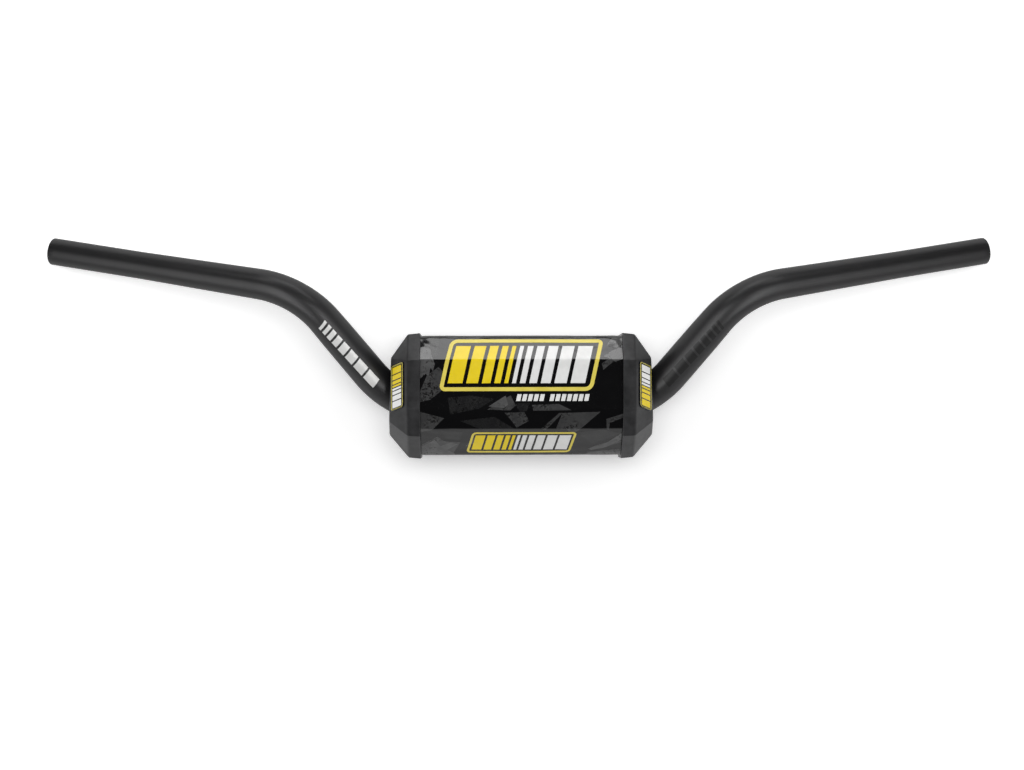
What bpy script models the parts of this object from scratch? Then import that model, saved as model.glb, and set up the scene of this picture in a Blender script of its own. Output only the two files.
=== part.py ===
"""Motocross handlebar with a clamp-on foam pad.

Built in metres in the row's own frame. The origin is the middle of the clamped stretch, on the
tube's axis. +X runs along the bar to its right, +Z is the way the arms rise, and -Y is forward.
Sizes below are in millimetres and degrees, and MM turns them into metres.
"""

import math

import bmesh
import bpy
from mathutils import Vector

MM = 0.001

# The bar's centreline, right half
CLAMP_HALF = 58.0  # straight stretch from the middle that the clamps hold
BEND_1_RADIUS = 81.0
RISE_ANGLE = 55.4  # of the arm above the clamped stretch
RISE_STRAIGHT = 61.0
BEND_2_RADIUS = 65.0
UPSWEEP = 1.5
BACKSWEEP = 15.6
GRIP_LENGTH = 181.9
GRIP_EVEN = 80.0  # outer part of the grip with an even diameter

# The tube: outer diameters by distance from the open end
DIAMETERS = ((0.0, 22.2), (GRIP_EVEN, 22.2), (110.0, 23.0), (150.0, 24.0), (215.0, 25.8), (260.0, 27.9),
             (300.0, 28.5), (330.0, 28.6), (460.0, 28.6))
WALL = 4.0
TUBE_SIDES = 36
BORE_SIDES = 20

# The pad's own directions: W points out of its printed front, U up along that front
PAD_TILT = 32.0
W_DIR = Vector((0.0, -math.cos(math.radians(PAD_TILT)), math.sin(math.radians(PAD_TILT))))
U_DIR = Vector((0.0, math.sin(math.radians(PAD_TILT)), math.cos(math.radians(PAD_TILT))))

# Outline of the pad's cover in (w, u) from the bar's axis, clockwise from the top front edge
PAD_BACK = 22.0  # how far the cover's back lies behind the bar's axis
BODY = ((33.4, 60.8), (45.6, 40.3), (45.6, 0.0), (39.4, -15.5), (16.6, -37.6), (-13.0, -37.6),
        (-PAD_BACK, -30.0), (-PAD_BACK, 46.0), (-11.0, 60.8))
BODY_ROUND = (5.5, 4.5, 5.0, 4.0, 4.0, 3.0, 4.0, 5.0, 4.0)
BULGE = 1.3  # the cover swells by this much forward and back in the middle of its length
COVER_THICK = 1.2
GAP = 0.3  # between pieces that touch on the real thing

# The end caps' flange outline, and the outline of their end faces
FLANGE = ((34.9, 62.8), (48.0, 40.3), (48.0, 0.0), (39.2, -21.8), (16.9, -40.5), (-14.0, -40.5),
          (-23.8, -31.0), (-23.8, 47.0), (-12.0, 62.8))
CAP_CREASE = 2.3  # how far the end face's lower front crease lies below the bar's axis
CAP_END = ((33.3, 42.6), (33.3, 42.6), (31.4, -CAP_CREASE), (28.7, -9.5), (15.8, -20.5),
           (-7.0, -20.5), (-14.0, -13.0), (-14.0, 32.0), (-6.0, 42.6))
FLANGE_IN = 82.6  # x of the flange's inner edge
FLANGE_OUT = 92.9  # x where the flange turns into the slanted part
FLANGE_DRAFT = 1.0
CAP_END_X = 108.3  # x of the end face at that crease
CAP_END_LEAN = 0.035  # the end face leans inward by this much per millimetre of height
CAP_SEAT = 91.0  # x of the shoulder that the cover's edge meets
CAP_WALL = 3.0
NOSE_STEP = 1.0

# The pocket that clears the bar clamps, and the slot that lets the pad onto the bar from behind
POCKET_HALF = 60.0
POCKET = ((32.0, 5.9), (-8.7, 31.4), (-60.0, 31.4), (-60.0, -60.0), (-9.2, -60.0))
SLOT_SIDES = 16
SLOT_STEP = 5.0
SLOT_PAST = 10.0  # how far the cutter runs past the caps

# Labels on the caps' slanted front facets: along the slope, and up the facet
LABEL_WIDE = 15.6
LABEL_TALL = 37.8
LABEL_LEAN = 4.3  # how far the outer side sits below the inner one
LABEL_DOWN = 1.1  # from the facet's middle
LABEL_OUT = 0.6
LABEL_ROUND = 2.6
LABEL_THICK = 0.6

# Hook straps over the slot behind, and the loop patches they close on
STRAP_X = (61.0, 81.0)
STRAP_THICK = 1.6
STRAP_U = (41.0, 22.0, -6.0, -30.0)
PATCH_U = (-9.0, -27.5)
PATCH_THICK = 1.5

MATERIALS = {
    "satin_black_bar": ((0.028, 0.027, 0.030), 0.42, 0.85),
    "black_foam": ((0.022, 0.022, 0.023), 0.92, 0.0),
    "gloss_vinyl": ((0.012, 0.012, 0.013), 0.22, 0.0),
    "grey_rubber": ((0.050, 0.050, 0.052), 0.62, 0.0),
    "yellow_label": ((0.62, 0.55, 0.05), 0.30, 0.0),
    "black_webbing": ((0.018, 0.018, 0.019), 0.85, 0.0),
    "black_loop": ((0.020, 0.020, 0.021), 0.95, 0.0),
}


def clear_scene():
    for thing in list(bpy.data.objects):
        bpy.data.objects.remove(thing, do_unlink=True)


def material(name):
    colour, rough, metal = MATERIALS[name]
    mat = bpy.data.materials.new(name)
    mat.use_nodes = True
    shader = mat.node_tree.nodes["Principled BSDF"]
    shader.inputs["Base Color"].default_value = (*colour, 1.0)
    shader.inputs["Roughness"].default_value = rough
    shader.inputs["Metallic"].default_value = metal
    mat.diffuse_color = (*colour, 1.0)
    return mat


def finish_mesh(name, bm, mat_name=None, smooth_angle=None):
    """Turns a bmesh into a linked object, outward-facing, smooth where edges are shallow."""
    bmesh.ops.remove_doubles(bm, verts=bm.verts, dist=1e-7)
    bmesh.ops.dissolve_degenerate(bm, edges=bm.edges, dist=1e-7)
    bmesh.ops.recalc_face_normals(bm, faces=bm.faces)
    if bm.calc_volume(signed=True) < 0:
        bmesh.ops.reverse_faces(bm, faces=bm.faces)
    mesh = bpy.data.meshes.new(name)
    bm.to_mesh(mesh)
    bm.free()
    thing = bpy.data.objects.new(name, mesh)
    bpy.context.scene.collection.objects.link(thing)
    if mat_name:
        mesh.materials.append(material(mat_name))
    if smooth_angle is not None:
        smooth(mesh, smooth_angle)
    return thing


def smooth(mesh, angle):
    """Shades faces smooth and keeps the edges steeper than the angle crisp."""
    bm = bmesh.new()
    bm.from_mesh(mesh)
    for face in bm.faces:
        face.smooth = True
    for edge in bm.edges:
        if len(edge.link_faces) == 2:
            edge.smooth = edge.calc_face_angle() < math.radians(angle)
    bm.to_mesh(mesh)
    bm.free()


def loft(bm, sections, closed_ends=True):
    """Joins rings of equal length by faces, and closes the two ends."""
    rings = [[bm.verts.new(p) for p in ring] for ring in sections]
    count = len(rings[0])
    for a, b in zip(rings, rings[1:]):
        for i in range(count):
            j = (i + 1) % count
            bm.faces.new((a[i], a[j], b[j], b[i]))
    if closed_ends:
        bm.faces.new(list(reversed(rings[0])))
        bm.faces.new(rings[-1])
    return rings


def join_rings(bm, ring_a, ring_b):
    """Fills the flat band between two rings of equal length."""
    count = len(ring_a)
    for i in range(count):
        j = (i + 1) % count
        bm.faces.new((ring_a[i], ring_a[j], ring_b[j], ring_b[i]))


def cut(target, cutter):
    """Takes the cutter out of the target."""
    cutter.hide_render = True
    cutter.display_type = "WIRE"
    mod = target.modifiers.new(cutter.name, "BOOLEAN")
    mod.operation = "DIFFERENCE"
    mod.solver = "EXACT"
    mod.object = cutter


# The bar's centreline

def direction(rise, back):
    up, side = math.radians(rise), math.radians(back)
    return Vector((math.cos(up) * math.cos(side), math.cos(up) * math.sin(side), math.sin(up)))


def bend(start, d0, d1, radius, steps):
    """Points and directions along an arc from d0 to d1, the start left out."""
    angle = d0.angle(d1)
    inward = (d1 - d0 * d0.dot(d1)).normalized()
    out = []
    for i in range(1, steps + 1):
        t = angle * i / steps
        point = start + radius * (math.sin(t) * d0 + (1.0 - math.cos(t)) * inward)
        out.append((point, math.cos(t) * d0 + math.sin(t) * inward))
    return out


def straight(start, way, length, steps):
    return [(start + way * (length * i / steps), way.copy()) for i in range(1, steps + 1)]


def half_centreline(bend_steps=10):
    """Points and directions of the right half in millimetres, from the middle to the open end."""
    d0 = Vector((1.0, 0.0, 0.0))
    d1 = direction(RISE_ANGLE, 0.0)
    d2 = direction(UPSWEEP, BACKSWEEP)
    line = [(Vector((0.0, 0.0, 0.0)), d0)]
    line += straight(line[-1][0], d0, CLAMP_HALF, 1)
    line += bend(line[-1][0], d0, d1, BEND_1_RADIUS, bend_steps)
    line += straight(line[-1][0], d1, RISE_STRAIGHT, 3)
    line += bend(line[-1][0], d1, d2, BEND_2_RADIUS, bend_steps)
    grip_start = line[-1][0]
    for reach in ((GRIP_LENGTH - GRIP_EVEN) / 3, GRIP_LENGTH - GRIP_EVEN, GRIP_LENGTH):
        line.append((grip_start + d2 * reach, d2))
    return line


def lengths(line):
    out = [0.0]
    for (a, _), (b, _) in zip(line, line[1:]):
        out.append(out[-1] + (b - a).length)
    return out


def tube_diameter(from_end):
    for (s0, v0), (s1, v1) in zip(DIAMETERS, DIAMETERS[1:]):
        if from_end <= s1:
            return v0 + (v1 - v0) * (from_end - s0) / (s1 - s0)
    return DIAMETERS[-1][1]


def full_centreline(bend_steps=10):
    """(point, direction, outer radius) from the left end to the right end, in millimetres."""
    half = half_centreline(bend_steps)
    run = lengths(half)
    stations = [(p, d, tube_diameter(run[-1] - s) / 2) for (p, d), s in zip(half, run)]
    mirrored = [(Vector((-p.x, p.y, p.z)), Vector((d.x, -d.y, -d.z)), r)
                for p, d, r in reversed(stations[1:])]
    return mirrored + stations


def ring_around(point, way, radius, sides):
    """A ring square to the tube, its first point always toward world -Y as near as may be."""
    side = (Vector((0.0, -1.0, 0.0)) - way * way.dot(Vector((0.0, -1.0, 0.0)))).normalized()
    other = way.cross(side)
    return [(point + radius * (math.cos(a) * side + math.sin(a) * other)) * MM
            for a in (2 * math.pi * i / sides for i in range(sides))]


def build_tube():
    """The hollow bar: outer skin and bore swept along one centreline, joined at the open ends."""
    stations = full_centreline()
    bm = bmesh.new()
    outer = loft(bm, [ring_around(p, d, r, TUBE_SIDES) for p, d, r in stations], False)
    inner = loft(bm, [ring_around(p, d, r - WALL, BORE_SIDES) for p, d, r in stations], False)
    for index in (0, -1):
        edges = []
        for ring in (outer[index], inner[index]):
            for a, b in zip(ring, ring[1:] + ring[:1]):
                edges.append(bm.edges.get((a, b)))
        bmesh.ops.triangle_fill(bm, use_beauty=True, use_dissolve=True, edges=edges)
    return finish_mesh("handlebar_tube", bm, "satin_black_bar", 40)


# The pad's outlines

def offset(outline, by):
    """Moves each side of a clockwise (w, u) outline outward by a distance."""
    count = len(outline)
    sides = []
    for i in range(count):
        (w0, u0), (w1, u1) = outline[i], outline[(i + 1) % count]
        length = math.hypot(w1 - w0, u1 - u0)
        if length < 1e-6:
            sides.append(None)
            continue
        nw, nu = -(u1 - u0) / length, (w1 - w0) / length
        sides.append((w0 + nw * by, u0 + nu * by, (w1 - w0) / length, (u1 - u0) / length))
    out = []
    for i in range(count):
        before, after = i - 1, i
        while sides[before] is None:
            before -= 1
        while sides[after] is None:
            after = (after + 1) % count
        aw, au, adw, adu = sides[before]
        bw, bu, bdw, bdu = sides[after]
        cross = adw * bdu - adu * bdw
        t = ((bw - aw) * bdu - (bu - au) * bdw) / cross
        out.append((aw + adw * t, au + adu * t))
    return out


def rounded(outline, radii, steps=3):
    """Rounds each corner of an outline by an arc of the given radius."""
    count = len(outline)
    out = []
    for i in range(count):
        here = Vector(outline[i])
        to_prev = (Vector(outline[i - 1]) - here).normalized()
        to_next = (Vector(outline[(i + 1) % count]) - here).normalized()
        half = to_prev.angle(to_next) / 2
        radius = radii[i]
        reach = radius / math.tan(half)
        centre = here + (to_prev + to_next).normalized() * (radius / math.sin(half))
        a, b = here + to_prev * reach - centre, here + to_next * reach - centre
        turn = a.angle(b)
        for k in range(steps + 1):
            t = k / steps
            v = (a * math.sin((1 - t) * turn) + b * math.sin(t * turn)) / math.sin(turn)
            out.append(tuple(centre + v))
    return out


def at(x, w, u):
    """A point of the pad's own (x, w, u) in the row's frame, in metres."""
    return (Vector((x, 0.0, 0.0)) + W_DIR * w + U_DIR * u) * MM


def section(x, outline):
    return [at(x, w, u) for w, u in outline]


def bulge(x):
    return BULGE * max(0.0, 1.0 - (x / FLANGE_IN) ** 2)


def body_outline(x, inset):
    """The pad's outline at x, inset from the cover's outer face."""
    front = max(w for w, _ in BODY)
    swollen = [(w + bulge(x) * w / (front if w > 0 else PAD_BACK), u) for w, u in BODY]
    return rounded(offset(swollen, -inset), [max(1.0, r - inset) for r in BODY_ROUND])


def body_stations(end):
    return [-end, -FLANGE_IN, -62.0, -36.0, 0.0, 36.0, 62.0, FLANGE_IN, end]


def end_x(u):
    """x of the caps' leaning end face at this height."""
    return CAP_END_X - CAP_END_LEAN * (u + CAP_CREASE)


def end_section(side, outline, back_by=0.0):
    """A section that lies in the caps' end face, or that far behind it."""
    return [at(side * (end_x(u) - back_by), w, u) for w, u in outline]


def end_outline(inset):
    return offset(CAP_END, -inset)


def twin_corners(outline):
    """Repeats the corners the way a rounded outline does, so a sharp ring lofts to a rounded one."""
    return [corner for corner in outline for _ in range(4)]


# Cutters for the pad

def pocket_cutter(name):
    bm = bmesh.new()
    loft(bm, [section(x, POCKET) for x in (-POCKET_HALF, POCKET_HALF)])
    return finish_mesh(name, bm)


def bar_inside_pad(run):
    """The centreline's x, z and slope, that far along it from the middle."""
    angle = math.radians(RISE_ANGLE)
    turned = min(max(run - CLAMP_HALF, 0.0) / BEND_1_RADIUS, angle)
    flat = min(run, CLAMP_HALF)
    after = max(0.0, run - CLAMP_HALF - BEND_1_RADIUS * angle)
    x = flat + BEND_1_RADIUS * math.sin(turned) + after * math.cos(angle)
    z = BEND_1_RADIUS * (1.0 - math.cos(turned)) + after * math.sin(angle)
    return x, z, turned


def slot_point(x, turn, clearance):
    """Where the line along the bar at this turn round it crosses the plane at x, in (w, u)."""
    total = lengths(half_centreline())[-1]
    low, high = -40.0, CAP_END_X * 3
    for _ in range(40):
        run = (low + high) / 2
        cx, cz, slope = bar_inside_pad(run)
        radius = tube_diameter(total - abs(run)) / 2 + clearance
        if cx + radius * math.sin(turn) * math.sin(slope) < x:
            low = run
        else:
            high = run
    spot = Vector((0.0, -radius * math.cos(turn), cz - radius * math.sin(turn) * math.cos(slope)))
    return spot.dot(W_DIR), spot.dot(U_DIR)


def slot_ring(x, clearance):
    """The bar cut by the plane at x and drawn back out of the pad, in (w, u)."""
    tilt = math.radians(PAD_TILT)
    slope = bar_inside_pad(abs(x))[2]
    lean = math.atan(math.tan(tilt) * math.cos(slope))
    high, low = -math.pi / 2 - lean, math.pi / 2 - lean
    turns = [high + (low - high) * i / SLOT_SIDES for i in range(SLOT_SIDES + 1)]
    ring = [slot_point(abs(x), turn, clearance) for turn in turns]
    return ring + [(-60.0, ring[-1][1]), (-60.0, ring[0][1])]


def slot_cutter(name):
    bm = bmesh.new()
    bent = CAP_END_X + SLOT_PAST - CLAMP_HALF
    steps = math.ceil(bent / SLOT_STEP)
    half = [CLAMP_HALF / 2] + [CLAMP_HALF + bent * i / steps for i in range(steps + 1)]
    loft(bm, [section(x, slot_ring(x, GAP)) for x in [-v for v in reversed(half)] + half])
    return finish_mesh(name, bm)


# The pad's pieces

def build_foam():
    """The foam core, with a nose inside each cap, opened behind for the bar and the clamps."""
    inset = COVER_THICK + GAP
    seat = CAP_SEAT - GAP
    bm = bmesh.new()
    rings = []
    nose = twin_corners(end_outline(CAP_WALL + GAP))
    shoulder = body_outline(seat, inset + NOSE_STEP)
    back = CAP_WALL + GAP
    rings.append(end_section(-1, nose, back))
    rings.append(section(-seat, shoulder))
    rings += [section(x, body_outline(x, inset)) for x in body_stations(seat)]
    rings.append(section(seat, shoulder))
    rings.append(end_section(1, nose, back))
    loft(bm, rings)
    foam = finish_mesh("pad_foam", bm, "black_foam", 30)
    cut(foam, pocket_cutter("foam_pocket_cutter"))
    cut(foam, slot_cutter("foam_slot_cutter"))
    return foam


def build_cover():
    """The printed vinyl sleeve around the foam, open behind along the slot and the pocket."""
    end = CAP_SEAT - GAP
    bm = bmesh.new()
    outer = loft(bm, [section(x, body_outline(x, 0.0)) for x in body_stations(end)], False)
    inner = loft(bm, [section(x, body_outline(x, COVER_THICK)) for x in body_stations(end)], False)
    for index in (0, -1):
        join_rings(bm, outer[index], inner[index])
    cover = finish_mesh("pad_cover", bm, "gloss_vinyl", 25)
    cut(cover, pocket_cutter("cover_pocket_cutter"))
    cut(cover, slot_cutter("cover_slot_cutter"))
    return cover


def build_cap(name, side):
    """A moulded cap: a flange over the cover's edge and a slanted part around the foam's nose."""
    bm = bmesh.new()
    outer = loft(bm, [
        section(side * FLANGE_IN, FLANGE),
        section(side * FLANGE_OUT, offset(FLANGE, -FLANGE_DRAFT)),
        end_section(side, CAP_END),
    ], False)
    sleeve = offset(BODY, GAP)
    seat = offset(BODY, -COVER_THICK - GAP - NOSE_STEP + GAP)
    inner = loft(bm, [
        section(side * FLANGE_IN, sleeve),
        section(side * CAP_SEAT, sleeve),
        section(side * CAP_SEAT, seat),
        end_section(side, end_outline(CAP_WALL), CAP_WALL),
    ], False)
    join_rings(bm, outer[0], inner[0])
    bm.faces.new(outer[-1][1:])
    bm.faces.new(inner[-1][1:])
    cap = finish_mesh(name, bm, "grey_rubber", 12)
    cut(cap, slot_cutter(name + "_slot_cutter"))
    return cap


def build_label(name, side):
    """A thin label on the cap's slanted front facet."""
    flange = offset(FLANGE, -FLANGE_DRAFT)
    near = at(side * FLANGE_OUT, *flange[1])
    low = at(side * FLANGE_OUT, *flange[2])
    w, u = CAP_END[2]
    far = at(side * end_x(u), w, u)
    up = (near - low).normalized()
    out = (far - low) - up * (far - low).dot(up)
    slope = out.normalized()
    normal = slope.cross(up)
    if normal.dot(W_DIR) < 0:
        normal = -normal
    centre = (near + low) / 2 + slope * (out.length / 2 + LABEL_OUT * MM) - up * (LABEL_DOWN * MM)
    half_w, half_t, drop = LABEL_WIDE / 2, LABEL_TALL / 2, LABEL_LEAN / 2
    corners = ((-half_w, half_t + drop), (half_w, half_t - drop),
               (half_w, -half_t - drop), (-half_w, -half_t + drop))
    shape = rounded(corners, [LABEL_ROUND] * 4, 4)
    bm = bmesh.new()
    loft(bm, [[centre + (slope * a + up * b + normal * lift) * MM for a, b in shape]
              for lift in (GAP, GAP + LABEL_THICK)])
    return finish_mesh(name, bm, "yellow_label", 40)


def build_strap(name, side):
    """A hook strap sewn on above the slot, crossing it and stepping out over the loop patch."""
    w_sewn = -(PAD_BACK + bulge(STRAP_X[0]) + GAP)
    w_over = w_sewn - PATCH_THICK - GAP
    middle = ((w_sewn, STRAP_U[0]), (w_sewn, STRAP_U[1]), (w_over, STRAP_U[2]), (w_over, STRAP_U[3]))
    outer = [(w - STRAP_THICK, u) for w, u in middle]
    outline = list(middle) + list(reversed(outer))
    bm = bmesh.new()
    loft(bm, [section(side * x, outline) for x in STRAP_X])
    return finish_mesh(name, bm, "black_webbing", 25)


def build_patch(name, side):
    w_in = -(PAD_BACK + bulge(STRAP_X[0]) + GAP)
    top, low = PATCH_U
    outline = ((w_in, top), (w_in, low), (w_in - PATCH_THICK, low), (w_in - PATCH_THICK, top))
    bm = bmesh.new()
    loft(bm, [section(side * x, outline) for x in (STRAP_X[0] + 1.0, STRAP_X[1] - 1.0)])
    return finish_mesh(name, bm, "black_loop", 25)


clear_scene()
build_tube()
build_foam()
build_cover()
for word, sign in (("left", -1), ("right", 1)):
    build_cap("end_cap_" + word, sign)
    build_label("cap_label_" + word, sign)
    build_strap("closure_strap_" + word, sign)
    build_patch("loop_patch_" + word, sign)
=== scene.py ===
"""Looks for the motocross handlebar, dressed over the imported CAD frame.

Sizes are in millimetres and degrees, as in the part's source, and MM turns them into metres.
x runs along the bar. On the pad, w points out of its printed front and u up along that front.
On the pad's film, s is the distance down its outline from the crease below the top facet.
"""

import math

import bmesh
import bpy
from mathutils import Matrix, Vector, noise


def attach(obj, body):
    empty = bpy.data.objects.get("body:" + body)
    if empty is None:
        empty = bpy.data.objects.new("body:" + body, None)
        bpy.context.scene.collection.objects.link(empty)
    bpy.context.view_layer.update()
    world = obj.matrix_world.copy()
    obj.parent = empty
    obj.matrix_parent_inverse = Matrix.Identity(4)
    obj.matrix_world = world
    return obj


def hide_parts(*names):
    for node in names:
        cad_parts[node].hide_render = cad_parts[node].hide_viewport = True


MM = 0.001

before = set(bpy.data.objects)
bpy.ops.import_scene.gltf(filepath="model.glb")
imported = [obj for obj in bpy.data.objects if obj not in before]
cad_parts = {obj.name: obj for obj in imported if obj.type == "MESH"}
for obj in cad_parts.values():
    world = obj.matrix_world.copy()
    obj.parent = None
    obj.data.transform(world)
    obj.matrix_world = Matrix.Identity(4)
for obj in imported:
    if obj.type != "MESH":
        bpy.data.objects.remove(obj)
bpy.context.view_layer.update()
scene = bpy.context.scene

# The part's driving values, as in its source
CLAMP_HALF, BEND_1_RADIUS, RISE_ANGLE, RISE_STRAIGHT = 58, 81, 55.4, 61
BEND_2_RADIUS, UPSWEEP, BACKSWEEP, GRIP_LENGTH = 65, 1.5, 15.6, 181.9
DIAMETERS = ((0, 22.2), (80, 22.2), (110, 23), (150, 24), (215, 25.8), (260, 27.9),
             (300, 28.5), (330, 28.6), (460, 28.6))
WALL = 4
PAD_TILT = 32
W_DIR = Vector((0, -math.cos(math.radians(PAD_TILT)), math.sin(math.radians(PAD_TILT))))
U_DIR = Vector((0, math.sin(math.radians(PAD_TILT)), math.cos(math.radians(PAD_TILT))))
PAD_BACK = 22
BODY = ((33.4, 60.8), (45.6, 40.3), (45.6, 0), (39.4, -15.5), (16.6, -37.6), (-13, -37.6),
        (-PAD_BACK, -30), (-PAD_BACK, 46), (-11, 60.8))
BODY_ROUND = (5.5, 4.5, 5, 4, 4, 3, 4, 5, 4)
BULGE, COVER_THICK, GAP = 1.3, 1.2, 0.3
FLANGE = ((34.9, 62.8), (48, 40.3), (48, 0), (39.2, -21.8), (16.9, -40.5), (-14, -40.5),
          (-23.8, -31), (-23.8, 47), (-12, 62.8))
CAP_CREASE = 2.3
CAP_END = ((33.3, 42.6), (31.4, -CAP_CREASE), (28.7, -9.5), (15.8, -20.5),
           (-7, -20.5), (-14, -13), (-14, 32), (-6, 42.6))
FLANGE_IN, FLANGE_OUT, FLANGE_DRAFT = 82.6, 92.9, 1
CAP_END_X, CAP_END_LEAN, CAP_SEAT, CAP_WALL = 108.3, 0.035, 91, 3
POCKET_HALF = 60
POCKET = ((32, 5.9), (-8.7, 31.4), (-60, 31.4), (-60, -60), (-9.2, -60))
LABEL_WIDE, LABEL_TALL, LABEL_LEAN, LABEL_DOWN, LABEL_OUT = 15.6, 37.8, 4.3, 1.1, 0.6
LABEL_ROUND, LABEL_THICK = 2.6, 0.6
STRAP_X, STRAP_THICK, STRAP_U = (61, 81), 1.6, (41, 22, -6, -30)
PATCH_U, PATCH_THICK = (-9, -27.5), 1.5

# The finer pieces
OUTER_SIDES, BORE_SIDES, MIDDLE_RADIUS = 96, 48, 12.5
STRAP_STEPS, STRAP_LENGTH = 72, 71
KNURL_PITCH = 1.7
FILM_STEP = 1.6
CAP_ROUND, CAP_END_ROUND = 1.3, 1.6
SLANT = 0.22
ARM_TURN, ARM_TWIST = -15.3, 0.16  # the front of the rising arm, in degrees and degrees per millimetre
FILM_ROUGH, INK_ROUGH = (0.10, 0.17), (0.15, 0.24)
PEEL = (0.55, 2)  # scale and detail of the film's orange peel
RIM = (0.25, 0.62)  # how far round the tube its shine fades


# Meshes

def smooth(bm, angle):
    """Smooths the faces, and keeps the edges that are steeper than the angle crisp."""
    for face in bm.faces:
        face.smooth = True
    for edge in bm.edges:
        if len(edge.link_faces) == 2:
            edge.smooth = edge.calc_face_angle() < math.radians(angle)


def opened(thing):
    bm = bmesh.new()
    bm.from_mesh(thing.data)
    return bm


def closed(bm, mesh):
    bm.to_mesh(mesh)
    bm.free()
    return mesh


def linked(name, data):
    thing = bpy.data.objects.new(name, data)
    scene.collection.objects.link(thing)
    return thing


def finish(name, bm, mat, angle=35, solid=True):
    """Turns a bmesh into a linked object, smooth where its edges are shallow."""
    bmesh.ops.remove_doubles(bm, verts=bm.verts, dist=1e-7)
    if solid:
        bmesh.ops.recalc_face_normals(bm, faces=bm.faces)
        if bm.calc_volume(signed=True) < 0:
            bmesh.ops.reverse_faces(bm, faces=bm.faces)
    smooth(bm, angle)
    mesh = closed(bm, bpy.data.meshes.new(name))
    mesh.materials.append(mat)
    return linked(name, mesh)


def settle(thing, angle=None):
    """Applies the modifiers. With an angle, edges steeper than it are kept crisp."""
    depsgraph = bpy.context.evaluated_depsgraph_get()
    mesh = bpy.data.meshes.new_from_object(thing.evaluated_get(depsgraph), depsgraph=depsgraph)
    thing.modifiers.clear()
    thing.data = mesh
    if angle is not None:
        bm = opened(thing)
        smooth(bm, angle)
        closed(bm, mesh)
    return thing


def weight_normals(thing):
    """Keeps broad facets flat in the shading beside their rounded edges."""
    mod = thing.modifiers.new("normals", "WEIGHTED_NORMAL")
    mod.keep_sharp = True
    mod.weight = 80
    return settle(thing)


def cut(target, cutter, angle=35):
    mod = target.modifiers.new("cut", "BOOLEAN")
    mod.operation, mod.solver, mod.object = "DIFFERENCE", "EXACT", cutter
    settle(target, angle)
    bpy.data.objects.remove(cutter)
    return target


def join_rings(bm, a, b, ring=True):
    """Quads between two rows of points."""
    count = len(a)
    return [bm.faces.new((a[i], a[(i + 1) % count], b[(i + 1) % count], b[i]))
            for i in range(count if ring else count - 1)]


def map_skin(bm, rings, flat):
    """Joins the rings, with flat(row, column) in millimetres as the places of their UV map."""
    uv = bm.loops.layers.uv.active
    for i, (a, b) in enumerate(zip(rings, rings[1:])):
        for k, face in enumerate(join_rings(bm, a, b)):
            for loop, spot in zip(face.loops, ((i, k), (i, k + 1), (i + 1, k + 1), (i + 1, k))):
                loop[uv].uv = [v * MM for v in flat(*spot)]


def loft(bm, sections, closed_ends=True):
    rings = [[bm.verts.new(p) for p in ring] for ring in sections]
    for a, b in zip(rings, rings[1:]):
        join_rings(bm, a, b)
    if closed_ends:
        bm.faces.new(list(reversed(rings[0])))
        bm.faces.new(rings[-1])
    return rings


def soften(before, corner, after, count=3):
    """Rings along a curve that rounds the corner ring off between its neighbours."""
    out = []
    for k in range(count + 1):
        t = k / count
        out.append([a * (1 - t) ** 2 + c * (2 * t * (1 - t)) + b * t ** 2
                    for a, c, b in zip(before, corner, after)])
    return out


# The bar's centreline

def direction(rise, back):
    up, side = math.radians(rise), math.radians(back)
    return Vector((math.cos(up) * math.cos(side), math.cos(up) * math.sin(side), math.sin(up)))


D0, D1, D2 = Vector((1, 0, 0)), direction(RISE_ANGLE, 0), direction(UPSWEEP, BACKSWEEP)
ARC_1 = BEND_1_RADIUS * D0.angle(D1)
ARC_2 = BEND_2_RADIUS * D1.angle(D2)
RUNS = (CLAMP_HALF, ARC_1, RISE_STRAIGHT, ARC_2, GRIP_LENGTH)
HALF_LENGTH = sum(RUNS)


def arc(d0, d1, radius, way):
    angle = way / radius
    inward = (d1 - d0 * d0.dot(d1)).normalized()
    point = radius * (math.sin(angle) * d0 + (1 - math.cos(angle)) * inward)
    return point, math.cos(angle) * d0 + math.sin(angle) * inward


def spine(run):
    """Point and direction of the bar's right half, that far along it from the middle."""
    point, way = Vector(), D0
    for length, step in zip(RUNS, (
            lambda r: (D0 * r, D0), lambda r: arc(D0, D1, BEND_1_RADIUS, r),
            lambda r: (D1 * r, D1), lambda r: arc(D1, D2, BEND_2_RADIUS, r),
            lambda r: (D2 * r, D2))):
        move, way = step(min(run, length))
        point = point + move
        run -= length
        if run <= 0:
            break
    return point, way


def tube_radius(run):
    from_end = max(0, HALF_LENGTH - run)
    for (s0, v0), (s1, v1) in zip(DIAMETERS, DIAMETERS[1:]):
        if from_end <= s1:
            return (v0 + (v1 - v0) * (from_end - s0) / (s1 - s0)) / 2
    return DIAMETERS[-1][1] / 2


def tube_point(side, run, turn, radius):
    """A point round the bar. The turn is 0 toward -Y and grows downward on both halves."""
    point, way = spine(run)
    front = (Vector((0, -1, 0)) - way * way.dot(Vector((0, -1, 0)))).normalized()
    below = way.cross(front)
    spot = point + radius * (math.cos(turn) * front + math.sin(turn) * below)
    return Vector((side * spot.x, spot.y, spot.z)) * MM


# The pad's outlines

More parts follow.
